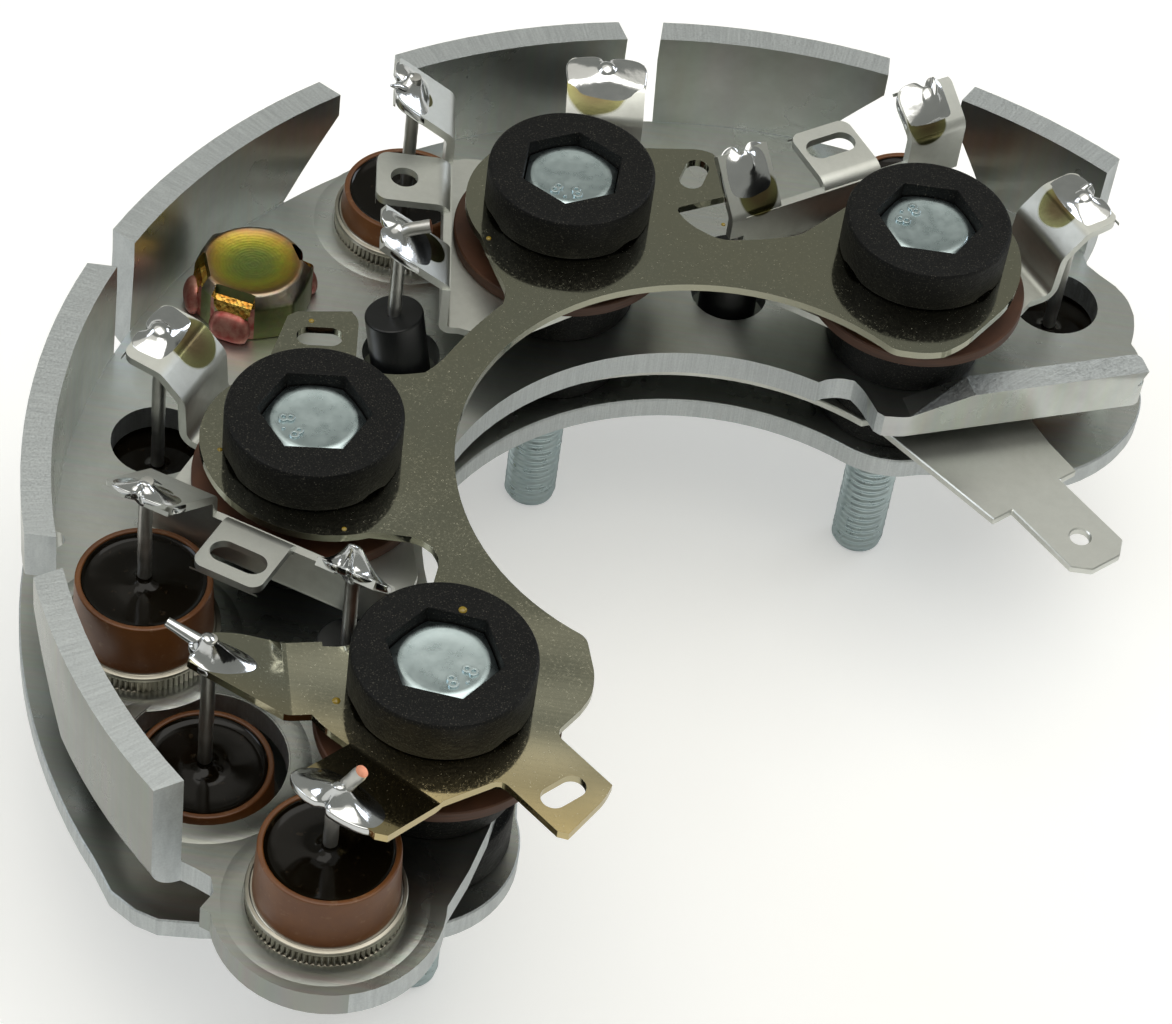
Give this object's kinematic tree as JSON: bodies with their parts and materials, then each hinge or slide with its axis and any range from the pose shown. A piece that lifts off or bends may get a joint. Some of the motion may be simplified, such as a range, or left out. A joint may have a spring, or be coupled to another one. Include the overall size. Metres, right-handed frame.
{
  "type": "alternator rectifier",
  "caption": "Open C-shaped rectifier: two stacked aluminium heat sinks with pressed-in diodes, bent phase terminals and a neutral ring, clamped by insulated bolts.",
  "frame": {"origin": "centre of the clamp bolt circle, which is the rotor shaft's axis, on the underside of the lower heat sink", "axes": "+Z along the shaft axis from the seat towards the bolt heads; +X towards the open end with the blade terminal; -Y towards the viewer of the picture"},
  "size_m": [0.0982, 0.1102, 0.0466],
  "materials": {
    "aluminium": "stamped sheet, matt, bright on sheared edges",
    "nickel_plate": "bright nickel plate on brass, fine scratches",
    "tinned_brass": "dull tin plate, flux stains by the solder",
    "cap_black": "moulded phenolic, slightly speckled",
    "spacer_black": "moulded phenolic, semi-matt",
    "fibre_brown": "vulcanised fibre",
    "zinc_steel": "blue-white zinc plate",
    "yellow_zinc": "yellow passivated zinc with a rainbow tint",
    "diode_metal": "nickel plate, knurled rim",
    "sleeve_brown": "semi-gloss moulded sleeve",
    "potting_black": "glossy poured epoxy",
    "exciter_black": "moulded epoxy body",
    "tinned_wire": "tinned copper wire",
    "solder": "bright solder"
  },
  "bodies": {
    "root": {"battery_bush": "spacer_black", "battery_stud": "yellow_zinc", "cap_1": "cap_black", "cap_2": "cap_black", "cap_3": "cap_black", "cap_4": "cap_black", "clamp_bolts": "zinc_steel", "diode_cup_lower_1": "diode_metal", "diode_cup_lower_2": "diode_metal", "diode_cup_lower_3": "diode_metal", "diode_cup_lower_4": "diode_metal", "diode_cup_upper_1": "diode_metal", "diode_cup_upper_2": "diode_metal", "diode_cup_upper_3": "diode_metal", "diode_cup_upper_4": "diode_metal", "diode_leads": "tinned_wire", "diode_potting": "potting_black", "diode_sleeve_lower_1": "sleeve_brown", "diode_sleeve_lower_2": "sleeve_brown", "diode_sleeve_lower_3": "sleeve_brown", "diode_sleeve_lower_4": "sleeve_brown", "diode_sleeve_upper_1": "sleeve_brown", "diode_sleeve_upper_2": "sleeve_brown", "diode_sleeve_upper_3": "sleeve_brown", "diode_sleeve_upper_4": "sleeve_brown", "exciter_diode_1": "exciter_black", "exciter_diode_2": "exciter_black", "exciter_diode_3": "exciter_black", "exciter_leads_1": "tinned_wire", "exciter_leads_2": "tinned_wire", "exciter_leads_3": "tinned_wire", "exciter_strip": "tinned_brass", "fibre_washer_1": "fibre_brown", "fibre_washer_2": "fibre_brown", "fibre_washer_3": "fibre_brown", "fibre_washer_4": "fibre_brown", "insulating_collar_1": "spacer_black", "insulating_collar_2": "spacer_black", "insulating_collar_3": "spacer_black", "insulating_collar_4": "spacer_black", "lower_heat_sink": "aluminium", "lower_spacer_1": "spacer_black", "lower_spacer_2": "spacer_black", "lower_spacer_3": "spacer_black", "lower_spacer_4": "spacer_black", "neutral_ring": "nickel_plate", "phase_terminal_a": "tinned_brass", "phase_terminal_b": "tinned_brass", "phase_terminal_c": "tinned_brass", "solder_joints": "solder", "strip_washers": "spacer_black", "upper_heat_sink": "aluminium", "upper_spacer_1": "spacer_black", "upper_spacer_2": "spacer_black", "upper_spacer_3": "spacer_black", "upper_spacer_4": "spacer_black"}
  },
  "joints": []
}
